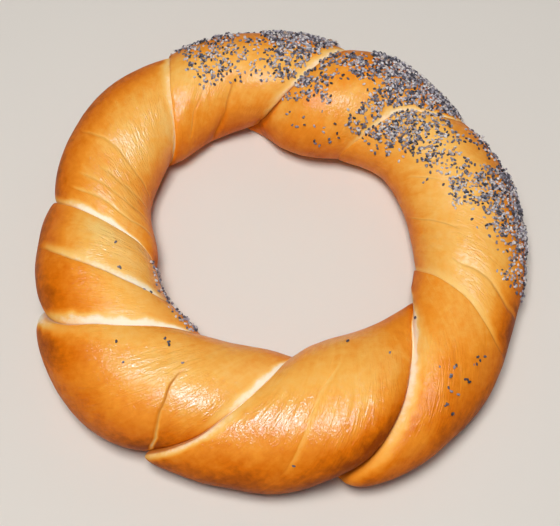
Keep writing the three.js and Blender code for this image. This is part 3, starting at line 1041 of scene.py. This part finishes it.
# %% Look at each small face of the skin
# The middle of each small face of the grid is a place where a seed may land, as often as it is wide.
HEIGHT_INSIDE = 12 * MM  # over the rope's middle line this is inside the rope, all round
grid_index = np.arange((COLUMNS + 1) * (ROWS + 1)).reshape(ROWS + 1, COLUMNS + 1)
a = grid_index[:-1, :-1].ravel()
b = grid_index[:-1, 1:].ravel()
c = grid_index[1:, 1:].ravel()
d = grid_index[1:, :-1].ravel()
face_middle = (skin[a] + skin[b] + skin[c] + skin[d]) / 4
face_normal = np.cross(skin[c] - skin[a], skin[d] - skin[b])
face_area = np.linalg.norm(face_normal, axis=1) / 2
face_normal = face_normal / (2 * face_area[:, None])
inside_rope = RING_MIDDLE + on_the_ring(ring_radius[a], angle[a], np.full(len(a), HEIGHT_INSIDE))
inward = ((face_middle - inside_rope) * face_normal).sum(1) < 0
face_normal[inward] *= -1
print("places for a seed:", len(a), "skin, cm2:", (face_area.sum() / (10 * MM) ** 2).round(1))

# %% Strew the seeds
CLUMP_SIZE = 3.2 * MM
CLUMPING = 1.1
EVEN_FROM = 1.3  # seeds to the square millimetre; a patch as thick as this has no bare spots
FEW_ON_PALE = 0.97  # the share of seeds that the opening seams left behind
PALE_EDGE = (0.2, 0.5)
CLEAR_OF_SEAM = (0.35 * MM, 0.8 * MM)
TRIES_PER_SEED = 3
DRAW = 1394  # any number would do; it makes every run strew the same seeds

clumps = noise_at(face_middle, CLUMP_SIZE, seed=8)
thickness = seeds_per_mm2(strand[a], (angle[a] + angle[b]) / 2, clock[a], clumps)
thickness = thickness * np.clip(1 + CLUMPING * clumps * (thickness < EVEN_FROM), 0, 2)
thickness = thickness * (1 - FEW_ON_PALE * smooth(*PALE_EDGE, np.maximum(stretched[a], stretched[d])))
thickness = thickness * smooth(*CLEAR_OF_SEAM, nearest[a])
expected = thickness * face_area / MM ** 2

dice = random.Random(DRAW)
chooser = np.random.default_rng(DRAW)
tries = chooser.choice(
    len(expected), size=int(expected.sum() * TRIES_PER_SEED), p=expected / expected.sum())
print("seeds hoped for:", int(expected.sum()))

# %% Let each seed find room
MOST_SEEDS = 6600
CLOSEST = 0.57 * MM
PILED_CLOSEST = 0.4 * MM
PILED_FROM = 0.8  # seeds to the square millimetre
JITTER = 0.35  # mm


def lands(places, wanted):
    """Takes places one by one and keeps those with room, the crowded ones on a second layer."""
    kept = []
    cells = {}
    for face in places:
        jitter = Vector([dice.uniform(-JITTER, JITTER) * MM for _ in range(3)])
        spot = Vector(face_middle[face]) + jitter
        key = tuple(int(math.floor(part / MM)) for part in spot)
        near = [other for x in (-1, 0, 1) for y in (-1, 0, 1) for z in (-1, 0, 1)
                for other in cells.get((key[0] + x, key[1] + y, key[2] + z), ())]
        closest = min(((spot - kept[other][0]).length for other in near), default=1.0)
        layer = 0
        if closest < CLOSEST:
            if closest < PILED_CLOSEST or thickness[face] < PILED_FROM:
                continue
            layer = 1
        cells.setdefault(key, []).append(len(kept))
        kept.append((spot, face, layer))
        if len(kept) >= wanted:
            break
    return kept


lone_faces = []
for at_strand, at_across, at_clock in LONE_SEEDS:
    miss = np.abs(across[a] - at_across) + np.abs(clock[a] - at_clock) / QUARTER + (strand[a] != at_strand)
    lone_faces.append(int(miss.argmin()))
landed = lands([*lone_faces, *tries], min(MOST_SEEDS, int(expected.sum())))
print("seeds landed:", len(landed), "of them piled:", sum(layer for _, _, layer in landed))

# %% Turn and sink each seed
LEAN = 0.22
SIZE_SPREAD = 0.09
RISES = (0.22, 0.62)  # mm, of a seed's middle over the skin, in the first layer and the second
RISE_SPREAD = (-0.06, 0.08)  # mm
ALONE = 0.05  # seeds to the square millimetre; one that lies alone looks darker
DARKER = 0.5
TONE_SPREAD = (0.95, 1.0)  # of a beta distribution; dark and light seeds are nearly as common
points = []
faces = []
tones = []
for spot, face, layer in landed:
    normal = Vector(face_normal[face])
    lean = normal + Vector([dice.gauss(0, LEAN) for _ in range(3)])
    turn = lean.to_track_quat("Z", "Y").to_matrix()
    spin = dice.uniform(0, 2 * math.pi)
    size = dice.gauss(1, SIZE_SPREAD)
    around = np.array([[math.cos(spin), -math.sin(spin), 0], [math.sin(spin), math.cos(spin), 0], [0, 0, 1]])
    rise = RISES[layer] * MM + dice.uniform(*RISE_SPREAD) * MM
    first = len(points) * len(seed_points)
    points.append((seed_points * size) @ around.T @ np.array(turn).T + np.array(spot + normal * rise))
    faces.extend([[first + corner for corner in corners] for corners in seed_faces])
    tones.append(dice.betavariate(*TONE_SPREAD) * (DARKER if thickness[face] < ALONE else 1))
print("seed points:", len(points) * len(seed_points))

# %% Join the seeds into one mesh
seeds_mesh = bpy.data.meshes.new("poppy_seeds")
seeds_mesh.from_pydata(np.concatenate(points).tolist(), [], faces)
seeds = bpy.data.objects.new("poppy_seeds", seeds_mesh)
bpy.context.collection.objects.link(seeds)
tone = seeds_mesh.attributes.new("tone", "FLOAT", "POINT")
tone.data.foreach_set("value", np.repeat(np.array(tones, np.float32), len(seed_points)))
deselect_all()
seeds.select_set(True)
bpy.context.view_layer.objects.active = seeds
bpy.ops.object.mode_set(mode="EDIT")
bpy.ops.mesh.select_all(action="SELECT")
bpy.ops.mesh.normals_make_consistent(inside=False)
bpy.ops.object.mode_set(mode="OBJECT")
bpy.ops.object.shade_smooth()
print("seed faces:", len(seeds_mesh.polygons))

# %% Make the seed coat
# The coat of a poppy seed is a net of tiny walls, each cell about 0.15 mm wide. It is matt, and dusty
# grey where the walls catch the light. The cells are drawn at their real size.
SEED_TONES = [(0.0, "#2c2326"), (0.25, "#605964"), (0.5, "#9a949e"), (0.75, "#cdc7cd"), (0.9, "#e2dcd8"),
              (1.0, "#a88466")]
CELL = 0.15 * MM
CELL_DEPTH = 0.03 * MM

seed_coat, tree = new_material("poppy_seed_coat")
place = add_node(tree, "TexCoord").outputs["Object"]
tone_value = add_node(tree, "Attribute", attribute_name="tone").outputs["Fac"]
cells = add_node(tree, "TexVoronoi", {"Vector": place, "Scale": 1 / CELL})
net = add_node(tree, "Bump", {"Strength": 0.6, "Distance": CELL_DEPTH, "Height": cells})
surface = add_node(tree, "BsdfPrincipled",
                   {"Base Color": add_ramp(tree, tone_value, SEED_TONES), "Roughness": 0.5, "Normal": net})
add_node(tree, "OutputMaterial", {"Surface": surface})
seeds.data.materials.append(seed_coat)
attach(seeds, BODY)
print("seed tones:", len(SEED_TONES), "cell of the net, mm:", round(CELL / MM, 2))

# %% [markdown]
# ## Floor, light and camera
#
# The bread lies on a plain pale floor, under a soft light almost straight above it and a weaker one
# from the front. What the glaze mirrors is cooler than the light on the dough, as under a window, so
# the window is a lamp of its own that only reflections see. Food is best judged with its colours shown
# as they are, so the plain standard view is used and not the filmic one, which would grey the oranges.

# %% Lay the floor
FLOOR_DROP = 0.2 * MM  # under the bread, so that the two faces don't flicker into each other
deselect_all()
bpy.ops.mesh.primitive_plane_add(size=4)
floor = bpy.context.object
floor.name = "pale_floor"
floor.location.z = -FLOOR_DROP
paper, tree = new_material("pale_matt_paper")
surface = add_node(tree, "BsdfPrincipled", {"Base Color": linear("#dcd8d1"), "Roughness": 0.9})
add_node(tree, "OutputMaterial", {"Surface": surface})
floor.data.materials.append(paper)
floor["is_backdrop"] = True
print("floor:", floor.name)

# %% Hang the lights
LIGHTS_AIM = Vector((0, 0, 0.01))


def soft_light(name, place, size, power, hex_colour="#ffffff"):
    """A panel of light, so wide and so deep, that faces the bread."""
    lamp = bpy.data.lights.new(name, "AREA")
    lamp.shape = "RECTANGLE"
    lamp.size, lamp.size_y = size
    lamp.energy = power
    lamp.color = linear(hex_colour)[:3]
    holder = bpy.data.objects.new(name, lamp)
    holder.location = place
    holder.rotation_euler = (LIGHTS_AIM - Vector(place)).to_track_quat("-Z", "Y").to_euler()
    bpy.context.collection.objects.link(holder)
    return holder


light_above = soft_light("light_above", (-0.05, -0.13, 0.75), (0.2, 0.2), 5.3, "#fffaf6")
light_above.visible_glossy = False
window = soft_light("window_in_the_glaze", (-0.07, -0.13, 0.75), (0.56, 0.2), 11.5, "#a4deff")
window.visible_diffuse = False
soft_light("light_from_the_front", (-0.35, -0.9, 0.6), (0.9, 0.9), 0.5)
soft_light("light_from_behind", (0.7, 0.8, 0.8), (0.9, 0.9), 1.0)
print("above the bread, mm:", round(light_above.location.z / MM))

# %% Fill in the room
world = bpy.data.worlds.new("soft_room")
world.use_nodes = True
background = world.node_tree.nodes["Background"]
background.inputs["Color"].default_value = linear("#f4f6fa")
background.inputs["Strength"].default_value = 0.06
bpy.context.scene.world = world
bpy.context.scene.view_settings.view_transform = "Standard"
print("view:", bpy.context.scene.view_settings.view_transform)

# %% Set up the camera
CAMERA_ELEVATION = 67
CAMERA_DISTANCE = 420 * MM
CAMERA_LENS = 91.5
CAMERA_AIM = Vector(RING_MIDDLE) + Vector((-0.9, -2.5, 12)) * MM

camera_data = bpy.data.cameras.new("camera")
camera_data.lens = CAMERA_LENS
camera_data.clip_start = 0.01
camera = bpy.data.objects.new("camera", camera_data)
lift = math.radians(CAMERA_ELEVATION)
camera.location = CAMERA_AIM + Vector((0, -math.cos(lift), math.sin(lift))) * CAMERA_DISTANCE
camera.rotation_euler = (CAMERA_AIM - camera.location).to_track_quat("-Z", "Y").to_euler()
bpy.context.collection.objects.link(camera)
bpy.context.scene.camera = camera
print("camera at, mm:", [round(part / MM) for part in camera.location])

# %% [markdown]
# ## The dressed bread's size
#
# The dressed bread is measured over all that renders, but the floor. The dressed model must stay
# inside the solid's box, but for a few per cent.

# %% Measure the dressed bread


size_mm = [round(float(most - least) / MM, 1) for least, most in zip(*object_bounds())]
print("the dressed bread, mm:", size_mm)
